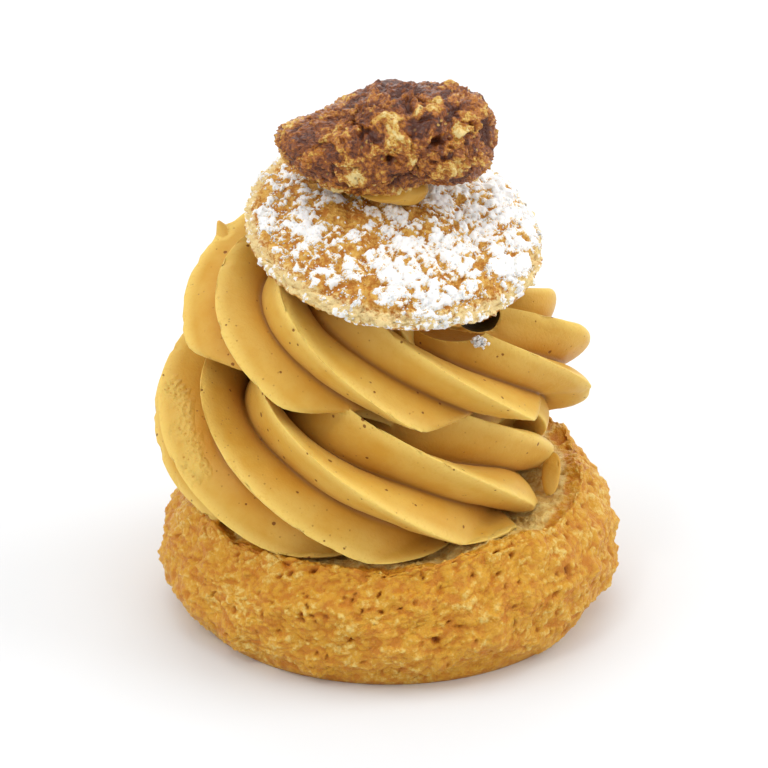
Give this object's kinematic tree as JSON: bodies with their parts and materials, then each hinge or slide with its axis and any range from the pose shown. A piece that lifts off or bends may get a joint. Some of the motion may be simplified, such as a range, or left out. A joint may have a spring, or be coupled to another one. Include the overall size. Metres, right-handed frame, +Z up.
{
  "type": "choux bun",
  "caption": "Cut choux bun with a crackled crust, a tall star-piped swirl of praline cream, its sugar-dusted crust set on top as a tilted cap, and a candied nut.",
  "frame": {"origin": "middle of the bun's flat foot, on the surface it stands on", "axes": "+Z up, front towards -Y, +X to the right as seen from the front"},
  "size_m": [0.0666, 0.0656, 0.0777],
  "materials": {
    "choux_crust": "baked crackled sugar crust, matt to satin",
    "praline_cream": "smooth piped cream with a soft sheen",
    "cap_crust": "baked crust under clumps of white icing sugar",
    "nut_coat": "lumpy caramel coat, partly glossy"
  },
  "bodies": {
    "root": {"choux_base": "choux_crust", "cream_swirl": "praline_cream", "crust_cap": "cap_crust", "cream_dab": "praline_cream", "candied_nut": "nut_coat"}
  },
  "joints": []
}
